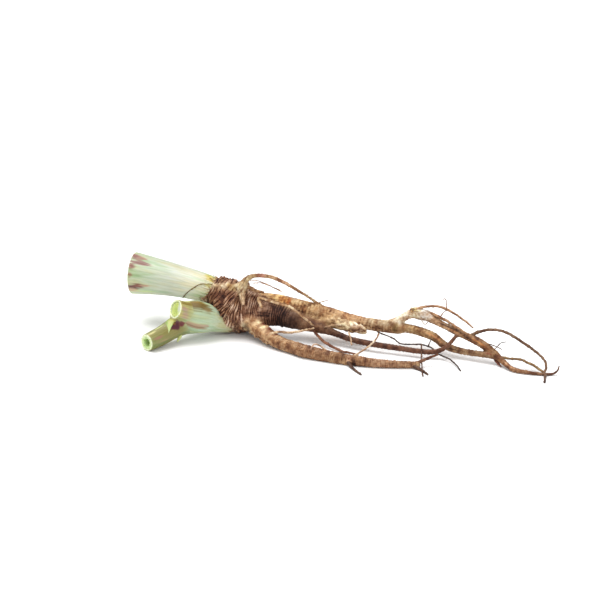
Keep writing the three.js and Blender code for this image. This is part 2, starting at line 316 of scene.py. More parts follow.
def grown(name, limbs, face_size, fine_limbs=(), fillet=0.8):
    """Limbs that grew as one, in one skin, with faces half the size on the fine limbs."""
    rough = joined(name, [rolled(limb.rings(20)) for limb in limbs])
    mesh = rough.data = wrapped(rough, face_size)
    evened(mesh, 3)
    drawn_on(mesh, limbs, fillet)

    points = (corners(mesh) - crown_place) / mm
    is_fine = np.zeros(len(points), bool)
    for limb in fine_limbs:
        is_fine |= limb.look(points).gap < 1
    bm = bmesh.new()
    bm.from_mesh(mesh)
    bm.verts.ensure_lookup_table()
    edges = [e for e in bm.edges if is_fine[e.verts[0].index] and is_fine[e.verts[1].index]]
    bmesh.ops.subdivide_edges(bm, edges=edges, cuts=1, use_grid_fill=True)
    bmesh.ops.triangulate(bm, faces=[f for f in bm.faces if len(f.verts) > 4])
    bm.to_mesh(mesh)
    bm.free()
    evened(mesh, 2)
    drawn_on(mesh, limbs, fillet)
    drawn_on(mesh, limbs, fillet)
    mesh.shade_smooth()
    return rough


def broken_rings(place, spacing, stroke, wander):
    """Raised rings round a limb, each broken into strokes: 0 in the grooves and up to 1 on a crest."""
    drift = wander * grain(place.straight / 8) + 0.4 * wander * grain(place.straight / 2.6 + 40)
    turns = (place.along + drift) / spacing
    ring = np.floor(turns)
    crest = eased(1 - np.abs(2 * (turns - ring) - 1), 0.1, 0.8)
    steps = np.column_stack([place.straight[:, :2] / stroke, 7.13 * ring])  # new strokes on each ring
    return crest * np.clip(0.6 + 1.2 * grain(steps), 0.05, 1)


def bends(place):
    """Slow bends in the skin that keep a root from being round."""
    angle, share = place.angle, place.share
    return 0.05 * np.sin(2 * angle + 7 * share) + 0.03 * np.sin(3 * angle - 16 * share)


def scarred(place):
    """Old leaf scars: lobes, broad swellings and rough broken rings 1.4 mm apart."""
    angle, share = place.angle, place.share
    lobes = 0.03 * np.sin(3 * angle + 5 * share) + 0.02 * np.sin(5 * angle - 9 * share)
    swelling = 0.4 * np.sin(place.along + 2.5 * grain(place.straight / 11))
    crest = broken_rings(place, 1.4, 5.5, 0.9)
    pits = 0.12 * grain(place.straight / 0.9)
    tucked_in = 1 - eased(place.along, 0, 1.5)  # where the skin goes under the upper shoot
    height = place.girth * lobes + swelling + 1.05 * crest + pits - 0.5
    return height * (1 - tucked_in) - 0.7 * tucked_in, crest + (0.7 - crest) * tucked_in


def beaded(place):
    """Lenticels swollen into beads in two patchy rows, with a dark furrow between them."""
    waver = 0.35 * grain(place.straight * (0, 0, 1 / 14))
    furrow = 1 - eased(np.abs((place.angle + waver) % (2 * np.pi) - np.pi), 0.05, 0.3)
    broken = eased(grain(place.straight * (0, 0, 1 / 9) + 5), -0.5, 0)
    furrow = furrow * eased(place.along, 22, 30) * broken
    patchy = eased(grain(place.straight / (6, 6, 8) + 60), -0.25, 0.2) * eased(place.along, 16, 30)
    lower_row = eased(np.sin(place.angle), -0.6, 0.1)
    crest = broken_rings(place, 2.1, 1.3, 1.3)
    pits = 0.16 * grain(place.straight / 0.8) + 0.25 * grain(place.straight / (2.6, 2.6, 3.4))
    beads = (0.2 + 0.35 * lower_row) * patchy * crest
    height = place.girth * bends(place) + beads - 0.4 * furrow + pits
    shade = 0.68 + patchy * (0.7 * crest - 0.35) - 0.4 * furrow + 0.8 * pits
    return height - 0.1, np.clip(shade, 0.14, 1)


def corky(place):
    """Smooth cork with fine wrinkles along the root and a lenticel here and there."""
    swelling = 0.07 * grain(place.straight / (9, 9, 5) + 9)
    marks = eased(broken_rings(place, 2.3, 1.1, 0.6), 0.35, 0.9)
    wrinkle = np.minimum(np.abs(grain(place.straight / (0.9, 0.9, 8))), 0.25)
    height = place.girth * (bends(place) + swelling) + 0.25 * marks + 0.3 * wrinkle - 0.1
    return height, 0.5 + 0.35 * marks + 0.8 * wrinkle


def knobbly(place):
    """Cork that is smooth underneath, with rows of pale knobs on top where the root is thick."""
    height, crest = corky(place)
    knobs = broken_rings(place, 2.8, 1.7, 1.6)
    stem = 1 - eased(place.along, 30, 42)
    on_top = eased(np.sin(place.angle), 0, 0.6) * stem
    grit = broken_rings(place, 1.3, 0.9, 0.7) * (1 - stem)
    height = height + on_top * (1.5 * knobs - 0.6) + 0.3 * grit
    shade = crest + 0.15 * stem + (1 - stem) * (0.8 * grit - 0.25)
    return height, shade + on_top * (1.2 * knobs - shade)


def flaky(place):
    """Torn cork: pale flakes that stand up over dark hollows."""
    flakes = eased(grain(place.straight / (2, 2, 3.2) + 80), -0.12, 0.22)
    pits = 0.2 * grain(place.straight / 0.9)
    return place.girth * bends(place) + 0.9 * flakes - 0.55 + pits, 0.34 + 0.62 * flakes + pits


def half_scarred(place):
    """Scarred where the root leaves the crown, and smooth further on."""
    scars, dark = scarred(place)
    height, crest = corky(place)
    share = 1 - eased(place.along, 22, 28)
    return height + share * (0.55 * scars - height), crest + share * (0.8 * dark - crest)


crown = Limb(
    [
        [-17.5, 3.5, 27.6, 8.2], [-11, 1.5, 24, 13.4], [-3, 0.3, 17.4, 17.7], [5, -2, 15, 14.4],
        [9, -3, 15.2, 12.8], [17, -6.5, 15.6, 9.8],
    ],
    ["#9C7C64", "#B08A70", "#D8BEA8", "#D8C0B0", "#BEA492"],
    scarred,
)
bud = Limb(
    [[4, -3, 12, 9], [-1, -5.5, 9.4, 7.6], [-5, -7, 8.2, 6.2]],
    ["#B39878", "#A09678", "#97957A"],
    scarred,
)
body = Limb(
    [
        [10, -4, 15.5, 11], [21, -9.5, 15.2, 7.5], [33, -13.5, 13.8, 6.7], [43, -17, 11.2, 4.7],
        [53, -21, 9.6, 3.4],
    ],
    ["#B39680", "#76564A", "#6A4B3E", "#8E6E54", "#9A7857"],
    half_scarred,
)
main_root = Limb(
    [
        [5, 0, 18.5, 6.5], [15, -2.5, 21.1, 5.4], [24, -5.5, 21.8, 5.2], [34.5, -9, 20.6, 5.1],
        [47, -12, 17.8, 5], [58.5, -14.5, 15.8, 4.6], [72.5, -18.5, 13.5, 3.9], [87, -23, 11.6, 3.5],
        [101, -29, 11.4, 3.1],
    ],
    ["#F2D48A", "#F4DFAA", "#E6CFA2", "#CDB188", "#C8A47C", "#BC9670", "#B1936F"],
    beaded,
)
low_fork = Limb(
    [
        [97, -27, 12, 3], [111, -33, 12.3, 2.9], [122, -40, 10.2, 2.6], [129.5, -46, 6.2, 2.2],
        [141, -53, 4.9, 1.9], [149, -57, 5, 1.8], [157, -61, 5.2, 1.8],
    ],
    ["#BA9C70", "#B2966E", "#A1886A", "#8C7254"],
    corky,
)
high_fork = Limb(
    [
        [84, -22, 13, 2.6], [95, -26, 13.9, 2.5], [102, -28, 17.4, 2.5], [109, -29.5, 21.6, 2.9],
        [115, -32, 22.3, 3.2], [121, -36, 20.4, 2.4], [127, -41, 18.6, 2], [137, -47, 15.1, 2.1],
        [149, -54, 11.4, 2.4], [157, -60, 6.9, 2.1], [162, -67, 3.6, 1.7], [167, -74.5, 1.8, 1.4],
        [176.5, -79, 1.3, 1.1], [185, -80.5, 1, 0.9], [190, -80, 1.2, 0.8], [192.5, -79.6, 3.2, 0.6],
        [193, -79.4, 6, 0.5],
    ],
    ["#D9D4B6", "#E3E4D1", "#B99E7F", "#9D7D5E", "#93704D", "#8E6B4E", "#7A5E4D"],
    corky,
)
low_root = Limb(
    [
        [1, -5, 11, 6], [8.5, -13.5, 9.4, 5.2], [16, -22.5, 7.4, 5], [25, -33, 4.9, 4],
        [32.5, -39.5, 4.1, 3.7], [43, -49, 3.9, 3.7], [55.5, -55.5, 3.4, 3.4], [70, -62, 3.1, 3.1],
        [88, -66.5, 2.5, 2.5], [110, -67.5, 2, 1.9],
    ],
    ["#DBC09A", "#CBAE88", "#AE8F6C", "#9C7959", "#9F7F5D", "#A78467", "#A58867"],
    knobbly,
)
stump_root = Limb(
    [
        [30, -6, 18.2, 3.6], [47, -12, 13.4, 3.9], [58.5, -18, 12.8, 3.5], [68, -23, 11.9, 3.5],
        [75, -27, 11.3, 3.3], [79.5, -30, 10.9, 2.2],
    ],
    ["#C09E70", "#C6A67A", "#D2BA90", "#E4D6B2", "#F0E6C8"],
    flaky,
)
slender_root = Limb(
    [
        [44, -19, 11, 4], [53, -22.5, 9.6, 3.2], [62, -27, 7.8, 2.1], [71, -32, 5.9, 1.8],
        [81, -37, 5, 1.8], [91, -41, 4.5, 1.7], [101, -45, 4.4, 1.6], [113, -49.5, 4.1, 1.6],
        [123, -51.8, 4.8, 1.5], [129, -51.5, 7.8, 1.3], [135, -49.5, 14, 1],
    ],
    ["#7C5D44", "#60412F", "#6C4936", "#714F3C", "#7B5641"],
    corky,
)
arched_root = Limb(
    [
        [3, -9, 32, 2.1], [4.4, -9, 36, 2.1], [9.5, -9.5, 39.9, 1.5], [20, -11, 40.2, 1.2],
        [29, -12, 36.9, 1.1], [39, -12.5, 31, 0.9], [46, -12.5, 26.4, 0.8], [52, -12, 22, 0.7],
    ],
    ["#D9D3AE", "#D6C8A0", "#C8A68A", "#C4AC8A", "#E0D4AE"],
    corky,
)
# The arched rootlet's foot, which spreads over the crown as a smooth pale band with two arms.
arch_foot = Limb(
    [[2.7, -10.2, 33.3, 2.5], [3, -12, 30.5, 2.3], [3.4, -14.3, 27.4, 1.8], [3.8, -16.2, 24, 1.1]],
    ["#DDD5B2", "#DDD2B4", "#DCC8AC"],
    corky,
)
left_arm = Limb(
    [
        [3, -8.5, 33.4, 1.4], [-1, -7.4, 33, 1.3], [-6, -8, 32.8, 1.1], [-11, -7, 32.6, 0.9],
        [-15, -5.5, 32.4, 0.7],
    ],
    ["#F0E8CC", "#E6DCBA"],
    corky,
)
right_arm = Limb(
    [[4, -8, 33.5, 1.5], [7.5, -7, 31.8, 1.2], [12, -8, 29.8, 1], [17, -7.8, 28.6, 0.7]],
    ["#E0CDAA", "#C6AA88"],
    corky,
)
knot_point = Limb(
    [[114, -31, 22, 3], [118, -32.5, 22, 2.5], [122.5, -34, 21, 1.7], [127, -36, 19.6, 0.6]],
    ["#E6E0CC", "#EFEBDD"],
    flaky,
)
limbs = [
    crown, bud, body, main_root, low_fork, high_fork, low_root, stump_root, slender_root, arched_root,
    arch_foot, left_arm, right_arm, knot_point,
]

# Places where the skin has a colour of its own: [x, y, z, reach, colour].
root_spots = [
    [24, -6, 25, 5, "#F4DEA2"],  # the knee where the main root leaves the crown
    [32.3, -11.6, 24, 2.6, "#C97A30"],  # its rubbed orange side
    [29, -10.5, 25, 3, "#E2AA5E"],
    # a painted highlight on the top of the main root, past its orange side
    [37, -9, 26, 2.5, "#F2E8D2"],
    [33.5, -15.5, 17.5, 1.8, "#D6CC9C"],
    [4, -20, 8, 5, "#ABA286"],  # olive cork round the lower leaf base
    [-4, -8.5, 32.6, 3, "#C9B486"],
    [110, -31, 24.5, 2.6, "#D9D08C"],  # a crumbly yellow top
    [109, -29.5, 22, 6, "#F4EDDA"],  # scraped, so that the pale flesh shows
    [118, -34, 23, 5, "#DEDDD8"],
    [110.5, -33.5, 21.5, 3.5, "#E9E2C6"],
    [101, -28, 18, 5, "#EFE6CF"],
    [75, -30, 12.4, 4.5, "#F0E9D6"],  # the broken end of the stump
    [71, -27, 8, 3, "#A9743F"],
    [69, -64.6, 4, 2.2, "#EBCDB0"],  # a pale node on the low root, with a dark ring after it
    [72.2, -65.4, 4, 1.7, "#4A2A1C"],
    [72.4, -65, 1.4, 1.7, "#4A2A1C"],
    [99, -31, 13, 2.6, "#B5AC7A"],  # olive cork in the fork
    # painted shade on the lower front of the body, in the gap under the main root
    [34, -15, 10, 9, "#4E372B"],
    [12.5, -15, 13.2, 2, "#7A4030"],  # red-brown hollows and cream knobs on the low root
    [18, -20, 11.6, 3, "#7A3F30"],
    [20.9, -25.5, 10.6, 2.6, "#7A4030"],
    [25, -31.5, 10, 2.4, "#85503E"],
    [13.6, -19.5, 12.6, 1.7, "#F2E6BC"],
    [17, -25.5, 11, 1.7, "#EEE0B6"],
    [20.8, -31, 9.4, 1.6, "#EBD6B6"],
    [15, -10, 41, 3.5, "#B07F69"],  # a red-brown patch on the arched rootlet
]

# Lengthwise marks: [x, y, z, length, width, colour].
root_streaks = [
    # The dark streaks are painted shade in the gaps between the strands, and the pale ones are painted
    # highlights on them.
    [129, -44.5, 19.2, 16, 0.8, "#3F2418"],  # the high fork looks twisted from several strands
    [137, -49.6, 15.3, 14, 0.7, "#D2A274"],
    [143, -53, 13.4, 12, 0.8, "#4A2A1A"],
    [150, -56.7, 11.2, 9, 1, "#C89058"],
    [157, -62, 6.2, 8, 0.9, "#7C3A28"],
    [164, -71.6, 3.3, 10, 0.7, "#DDB795"],
    [121, -41.5, 11.8, 14, 0.8, "#C99A6C"],
    [133, -49.5, 5.6, 12, 0.6, "#4A2C1C"],
]


def laid_over(tint, colour, share):
    """The tints with a colour laid over them, by a share from 0 to 1 at each corner."""
    share = share[:, None]
    return tint * (1 - share) + np.array(colour) * share


def dressed(mesh, limbs, spots=(), streaks=(), flesh=()):
    """Gives a mesh the relief and the colours of the limbs that its corners belong to.

    A spot is [x, y, z, reach, colour], a streak [x, y, z, length, width, colour] and runs along its
    limb. flesh is for what a knife has cut: rows of depth under the skin and colour.
    """
    points = (corners(mesh) - crown_place) / mm
    places = [limb.look(points) for limb in limbs]
    gaps = np.array([place.gap for place in places])
    nearest = gaps.argmin(0)
    rows = np.arange(len(points))
    straight = np.array([place.straight for place in places])[nearest, rows]
    total, height, crest, tint = 0, 0, 0, 0
    for limb, place in zip(limbs, places):
        weight = np.exp(-np.clip(place.gap, -1, 14) / 1.1)  # one skin passes into the next over 1.1 mm
        near = weight > 0.02
        raised, ridge = np.zeros(len(points)), np.zeros(len(points))
        part = SimpleNamespace(**{key: value[near] for key, value in vars(place).items()})
        raised[near], ridge[near] = limb.skin(part)
        total = total + weight
        height = height + weight * raised
        crest = crest + weight * ridge
        tint = tint + weight[:, None] * limb.tint(place.along)
    height, crest, tint = height / total, crest / total, tint / total[:, None]

    wisps = 0.45 * grain(straight / (0.9, 0.9, 9)) + 0.3 * grain(straight / (2.2, 2.2, 14) + 30)
    for x, y, z, length, width, colour in streaks:
        marked = [limb.look(np.array([[x, y, z]], float)) for limb in limbs]
        owner = int(np.argmin([abs(place.gap[0]) for place in marked]))
        offset = (straight - marked[owner].straight[0]) / (width, width, length)
        away = np.where(nearest == owner, np.linalg.norm(offset, axis=1) + wisps, 9)
        tint = laid_over(tint, linear(colour), 1 - eased(away, 0.3, 1))

    cut = np.zeros(len(points))
    if flesh:
        depth = -gaps.min(0)
        cut = eased(depth, 0.12, 0.4)
        stops = [row[0] for row in flesh]
        shades = np.array([linear(row[1]) for row in flesh])
        inside = np.stack([np.interp(depth, stops, column) for column in shades.T], -1)
        tint = laid_over(tint, inside, cut)
    for x, y, z, reach, colour in spots:
        away = np.linalg.norm(points - (x, y, z), axis=1) + 1.5 * grain(points / 3)
        tint = laid_over(tint, linear(colour), 1 - eased(away, 0.5 * reach, 1.3 * reach))
    normals = np.empty(len(points) * 3, np.float32)
    mesh.vertex_normals.foreach_get("vector", normals)
    points = points + normals.reshape(-1, 3) * (height * (1 - cut))[:, None]
    points[:, 2] = np.maximum(points[:, 2], ground_gap)
    place_corners(mesh, points)
    paint(mesh, "tint", tint)
    paint(mesh, "crest", np.clip(crest, 0, 1) * (1 - cut))
    paint(mesh, "straight", straight * mm)
    paint(mesh, "flesh", cut)


def add_node(tree, kind, inputs=(), **settings):
    """Adds a node, sets it and links what feeds it. An input is a value or another node's socket."""
    node = tree.nodes.new(kind)
    for name, value in settings.items():
        setattr(node, name, value)
    for name, value in dict(inputs).items():
        if isinstance(value, bpy.types.NodeSocket):
            tree.links.new(value, node.inputs[name])
        else:
            node.inputs[name].default_value = value
    return node


def set_ramp(node, stops):
    """Sets the stops of a colour ramp: each is a place from 0 to 1 and a colour."""
    elements = node.color_ramp.elements
    while len(elements) < len(stops):
        elements.new(0.5)
    for element, (position, colour) in zip(elements, stops):
        element.position = position
        element.color = linear(colour)


def new_material(name):
    """A material, its node tree and its shader."""
    material = bpy.data.materials.new(name)
    material.use_nodes = True
    return material, material.node_tree, material.node_tree.nodes["Principled BSDF"]


def add_bumps(tree, shader, patterns, depth, strength):
    """Relief too fine for the mesh: the sum of two patterns, to a depth in millimetres."""
    relief = add_node(tree, "ShaderNodeMath", dict(enumerate(patterns)), operation="ADD").outputs[0]
    bump = add_node(
        tree, "ShaderNodeBump", {"Height": relief, "Distance": depth * mm, "Strength": strength}
    )
    tree.links.new(bump.outputs["Normal"], shader.inputs["Normal"])


def root_cork():
    """Thin cork skin of a fresh, washed root: matt and waxy on its crests, with painted shade in its
    grooves and a painted highlight on its crests.
    """
    material, tree, shader = new_material("root_cork")
    tint, crest, straight = [
        add_node(tree, "ShaderNodeAttribute", attribute_name=name)
        for name in ("tint", "crest", "straight")
    ]
    where = add_node(tree, "ShaderNodeTexCoord").outputs["Object"]
    drawn_out = add_node(
        tree,
        "ShaderNodeMapping",
        {"Vector": straight.outputs["Vector"], "Scale": [1 / (size * mm) for size in (0.8, 0.8, 6)]},
    ).outputs["Vector"]
    patterns = (
        (where, 1 / (5 * mm), 3.0),
        (where, 1 / (2 * mm), 2.0),
        (where, 1 / (0.8 * mm), 4.0),
        (drawn_out, 1.0, 3.0),
    )
    blotches, flecks, grit, lines = [
        add_node(
            tree, "ShaderNodeTexNoise", {"Vector": vector, "Scale": scale, "Detail": detail}
        ).outputs["Fac"]
        for vector, scale, detail in patterns
    ]
    # The crest and two noises give how light the skin is: dark in the grooves as painted shade, light
    # on the crests as a painted highlight.
    crest_shade = crest.outputs["Fac"]
    for pattern, strength in ((grit, 0.7), (lines, 0.8)):
        crest_shade = add_node(
            tree, "ShaderNodeMath", {0: pattern, 1: strength, 2: crest_shade}, operation="MULTIPLY_ADD"
        ).outputs[0]
    crest_shade = add_node(
        tree, "ShaderNodeMapRange", {"Value": crest_shade, "From Min": 0.7, "From Max": 1.6}
    ).outputs["Result"]

    # Painted shade in the grooves and a painted highlight on the crests, then broad blotches, then
    # small flecks, laid over the tint.
    grooves = [(0.0, "#48302A"), (0.3, "#8E7164"), (0.65, "#E2D5C8"), (1.0, "#FFFFFF")]
    layers = (
        (crest_shade, 1.0, "MULTIPLY", grooves),
        (blotches, 1.0, "MULTIPLY", [(0.36, "#A58570"), (0.5, "#E2D3C6"), (0.62, "#FFFFFF")]),
        (flecks, 0.45, "OVERLAY", [(0.34, "#86746A"), (0.5, "#BCBCBC"), (0.66, "#DCD5CC")]),
    )
    skin = tint.outputs["Color"]
    for pattern, share, blend_type, stops in layers:
        ramp = add_node(tree, "ShaderNodeValToRGB", {"Fac": pattern})
        set_ramp(ramp, stops)
        skin = add_node(
            tree, "ShaderNodeMix", {0: share, 6: skin, 7: ramp.outputs["Color"]},
            data_type="RGBA", blend_type=blend_type,
        ).outputs[2]
    tree.links.new(skin, shader.inputs["Base Color"])
    matt = add_node(tree, "ShaderNodeMapRange", {"Value": crest_shade, "To Min": 0.85, "To Max": 0.6})
    tree.links.new(matt.outputs["Result"], shader.inputs["Roughness"])
    shader.inputs["Specular IOR Level"].default_value = 0.3
    add_bumps(tree, shader, (grit, lines), 0.25, 0.7)
    return material


cork = root_cork()
bark_face = 0.68  # the length of a face: fine enough for the bark's rings, which are 1.4 apart
root = grown("branched_root_skin", limbs, bark_face, fine_limbs=[crown, bud, body])
dressed(root.data, limbs, root_spots, root_streaks)
root.data.materials.append(cork)
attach(root, "root")
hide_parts("branched_root")

# ---- The rootlets ----------------------------------------------------------------------------
# Rootlets as thick as string or hair, round, brown and a little crooked. They grew out of the
# branches with no joint, and some have dried to paler threads.


def threads(name, lines, tints, sides=6, spacing=1.2, wander=0.0, seed=0):
    """Strands along lines of stations, each a closed tube in the cork's colours."""
    meshes = []
    for number, line in enumerate(lines):
        strand = Limb(line, [tints[number % len(tints)]], corky, spacing=spacing)
        strand.girth = strand.girth * (1 + 0.16 * grain(strand.centre / 2.3 + seed))
        strand.centre = strand.centre + wander * np.column_stack(
            [grain(strand.centre / 4 + offset) for offset in (11, 23, 37)]
        ) * np.minimum(strand.along / 3, 1)[:, None]
        mesh = rolled(strand.rings(sides, dome=(45, 90)))
        dressed(mesh, [strand])
        meshes.append(mesh)
    piece = joined(name, meshes)
    piece.data.materials.append(cork)
    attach(piece, "root")
    return piece


rootlets = {
    "loop": [
        [143, -50, 13.8, 1.1], [147.5, -51, 16.8, 1.1], [154, -53, 19.2, 1], [161, -56, 19.8, 0.9],
        [167.5, -59, 17.8, 0.9], [175, -64, 14, 0.9], [181.5, -69, 10.2, 0.8], [185.5, -74, 6.8, 0.8],
        [185.6, -78, 3.4, 0.8], [184, -80.4, 1.2, 0.8],
    ],
    "bridge": [
        [112.3, -31, 24.5, 1.3], [115.3, -31.5, 26.4, 1], [122, -32, 27.5, 0.8],
        [127.5, -33, 27, 0.8], [131.2, -34, 25.6, 0.8], [136, -36, 23.3, 0.7],
        [140.8, -38, 20.4, 0.7], [146.1, -42, 16.6, 0.6],
    ],
    "twin": [
        [120.7, -34.5, 23.5, 1.1], [125.8, -39.5, 22.6, 0.9], [130.1, -43, 21.4, 0.8],
        [133.8, -46.5, 19.8, 0.8], [137.8, -50, 18, 0.7], [141.7, -53, 16.4, 0.6],
    ],
    "wiggle": [
        [158, -62, 5.4, 1], [165, -65.5, 5.4, 0.8], [171, -67.5, 5.6, 0.8], [177.5, -71, 4, 0.8],
        [184.5, -79, 1.6, 0.8],
    ],
    "front_tip": [[185, -80.5, 1.1, 0.9], [184, -86, 0.8, 0.7], [182.5, -92.5, 0.7, 0.6]],
    "raised_end": [[107, -67.5, 2.2, 1.2], [115, -65, 4.6, 0.9], [122.5, -62, 6.6, 0.7]],
    "fallen_end": [[107, -67.8, 2, 1.2], [111.5, -72.5, 1, 0.9], [115.5, -79.5, 0.7, 0.6]],
    "node_rootlet": [[68.5, -63, 2.6, 1.2], [71.5, -71, 1, 0.8], [76, -80, 0.7, 0.6]],
    "under_strand": [
        [47, -21, 9.6, 1.4], [48.7, -24, 8.4, 1], [52.8, -29, 4.7, 0.9], [58.2, -34, 2.4, 0.9],
        [64.8, -40, 1.1, 0.8], [70.7, -46, 1.7, 0.7], [75, -52, 2.4, 0.6],
    ],
    "hanging_end": [[156.5, -60.5, 5, 1], [159, -63.5, 1.8, 0.8], [160.5, -66.5, 0.7, 0.6]],
}
brown_tints = [
    "#806853", "#B89678", "#A58262", "#8B7350", "#6E5646",
    "#7E5A44", "#5E4638", "#5E4638", "#8A6048", "#7A4A3A",
]
threads("branch_rootlets", list(rootlets.values()), brown_tints, sides=9, spacing=0.9, wander=0.25)

pale_rootlets = [
    [
        [15.4, -17, 22, 0.9], [14.1, -14.9, 24.6, 1], [13.4, -13.4, 26.8, 1], [16.4, -15.5, 26.9, 0.8],
        [21.5, -18.5, 26.1, 0.8], [27.2, -21, 25.2, 0.7], [33.7, -23, 23.7, 0.7],
        [39.4, -24.5, 19.8, 0.7], [44.1, -25, 16, 0.6], [48.2, -24, 12, 0.5],
    ],
    [
        [20, -31, 8.2, 1.1], [26, -31.5, 10.4, 0.8], [33, -31, 9.8, 0.7], [42, -30.5, 11, 0.7],
        [48, -29.5, 12.2, 0.5],
    ],
]
threads("pale_rootlets", pale_rootlets, ["#DCC8A8", "#E0CFB2"], sides=9, spacing=0.9, wander=0.2)

hair_lines = {
    "over_the_neck": [
        [-0.3, -7.3, 32.1], [-7.2, -8.1, 33], [-14.4, -4.8, 33], [-18.9, -3.7, 33], [-24, -3.2, 32.6],
        [-27.3, -3.1, 30.8], [-30.6, -2.1, 28.2], [-33.4, -0.8, 25.4], [-35.6, 1.5, 22.2],
    ],
    "pair_a": [
        [8.5, -9.5, 36.8], [12.5, -10.5, 37.3], [18.3, -12, 35.6], [23.3, -11, 32.6], [28.3, -8, 29],
    ],
    "pair_b": [[9.9, -8.5, 35.1], [15.7, -12, 36.1], [21.4, -12.5, 34.1], [27, -9, 30.6]],
    "thorn": [[44.1, -12.5, 26.9], [44.9, -12.8, 29.2]],
    "arch_fork": [[50.9, -12.5, 23.1], [54.1, -13.5, 24.4], [57.2, -14, 25.2]],
    "curl": [
        [130.2, -33.5, 26], [130.3, -34, 29.5], [129.9, -34.5, 31.9], [128.9, -35, 33.2],
        [127.8, -35, 32.8],
    ],
    "upright": [
        [114.2, -45.1, 7], [114, -51, 5.6], [113.2, -60, 3.2], [112.7, -70, 1.6], [112.2, -83, 0.6],
    ],
    "dark_strand": [
        [88, -30, 10], [90.5, -32.3, 9.6], [94.4, -34.7, 8.8], [98.3, -37.2, 7.6], [101.8, -40.5, 6],
        [107.4, -43.8, 6.6], [114.2, -45.1, 7], [119.8, -46.5, 5.6], [122.3, -50.2, 4.3],
        [124.3, -52.4, 3.4], [130.1, -57.7, 2.2], [133.6, -65.1, 1.2], [135.5, -73.1, 0.6],
    ],
    "strand_twig": [[118.7, -46, 5.6], [119.4, -44.5, 8.1], [120.4, -44, 10]],
    "knot_hair": [[125.5, -38, 20.6], [126.9, -37, 23.2], [128.6, -36.5, 25.1], [130.4, -36, 26.4]],
    "knot_loop": [
        [114, -31, 20.2], [115.1, -30, 18], [116.2, -31, 16.4], [117.5, -32, 15.5], [119.8, -34, 18.9],
    ],
    "pale_arc": [
        [88.6, -33, 9.8], [87.6, -39, 9.6], [83.9, -46, 7.9], [78.7, -53, 6.3], [72.5, -58.5, 4.6],
    ],
    "low_root_curl": [
        [46.5, -54, 6], [46.9, -53, 8.4], [48.5, -52, 9.6], [52.5, -51, 7.9], [56, -52.6, 5.6],
    ],
    "fork_hair": [[154, -58, 12], [157.9, -61, 11.4], [161.3, -63, 10.1]],
    "fork_twig": [[157.5, -60, 9.4], [161.1, -59.5, 13.1], [164.1, -59, 13.5]],
    "hanging": [[70, -29, 9.6], [71, -38, 8.7], [71.3, -47, 7.4]],
    "short_pale": [[55.1, -26, 11.6], [59.7, -27.5, 13.4], [65, -27, 13.4]],
}
hair_tints = [
    "#8C8050", "#C9A88C", "#C2A07E", "#D8CBA6", "#E0D6BC", "#B99C86", "#6A5040", "#4B3C35", "#54423A",
    "#A98465", "#D8C8AA", "#E3D3BC", "#E0CDB8", "#6B5546", "#6B5546", "#E3D3BC", "#DCCBB0",
]
hair_girth = 0.32  # of all but the stout ones
stout = {
    "dark_strand": 0.48, "upright": 0.42, "pale_arc": 0.55, "hanging": 0.5, "low_root_curl": 0.5,
    "short_pale": 0.45,
}
hairs = [[[*place, stout.get(name, hair_girth)] for place in line] for name, line in hair_lines.items()]
threads("fine_hairs", hairs, hair_tints, sides=6, spacing=0.8, wander=0.15, seed=5)

# ---- The fibres on the crown -------------------------------------------------------------------
# What is left of older leaf bases: stiff brown threads that lie along the scars of the crown. The
# knot, where the high fork was scraped, has crumbs of dry yellow cork instead.

skin_tree = BVHTree.FromPolygons(
    [tuple(place) for place in (corners(root.data) - crown_place) / mm],
    [tuple(face.vertices) for face in root.data.polygons],
)
chance = random.Random(7)


def on_crown(along, angle, outside=40):
    """A place on the crown's skin, found by looking in from outside it, and the way out of it."""
    start = crown.at(np.array(along), np.array(angle), np.array(0.0))
    outward = crown.at(np.array(along), np.array(angle), np.array(1.0)) - start
    far = start + outward * outside
    place, normal, _, _ = skin_tree.ray_cast(Vector(far), Vector(-outward), outside + 5)
    return (None, None) if place is None else (np.array(place), np.array(normal))


crown_girth = 16
fibre_count, crumb_count = 320, 44
fibres = []
while len(fibres) < fibre_count:
    along = chance.uniform(3, crown.length - 6)
    angle = chance.uniform(0, 2 * math.pi)
    turn = chance.choice((-1, 1)) * chance.uniform(2.5, 6) / crown_girth
    lean = chance.uniform(-0.15, 0.25)
    girth = chance.uniform(0.12, 0.24)
    lift = chance.choice((0.1, 0.2, 0.4, 1.2))
    line = []
    for step in range(4):
        place, normal = on_crown(along + lean * step, angle + turn * step / 3)
        if place is not None:
            line.append([*(place + normal * (0.1 + lift * (step / 3) ** 2)), girth * (1 - 0.2 * step)])
    if len(line) == 4 and min(row[2] for row in line) > 0.5:
        fibres.append(line)
threads("crown_fibres", fibres, ["#A98C6E", "#C4A684", "#7A5A43", "#D2B896"], sides=4, spacing=1.6)

knot_place, knot_reach = np.array([111.5, -31.5, 22.9]), (4.4, 3, 2.9)
crumbs = []
while len(crumbs) < crumb_count:
    lean = Vector([chance.gauss(0, 1) for _ in range(3)]).normalized()
    if lean.z > -0.1:
        start = knot_place + np.array(lean) * knot_reach
        end = start + np.array(lean) * chance.uniform(0.4, 1.1) + [chance.uniform(-0.8, 0.8), 0, 0]
        girth = chance.uniform(0.3, 0.6)
        crumbs.append([[*start, girth], [*((start + end) / 2), girth], [*end, 0.6 * girth]])
threads("knot_crumbs", crumbs, ["#F6EFB4", "#FFFBE2", "#EDE5A6", "#FFFFF0"], sides=5, spacing=1)

# ---- The upper shoot ---------------------------------------------------------------------------
# Leaf bases nested like the coats of a leek and cut across with a knife: a thick ribbed sheath,
# a thinner one inside it, and the young leaves in the middle. Crisp, wet, pale green flesh, with
# torn threads of the crown's skin round its foot.

sheath_wall, inner_wall, heart_wall = 2.6, 2.3, 2
leaf_gap = 0.35
rib_room = 0.3  # kept free for the ribs, so that one coat never touches the next


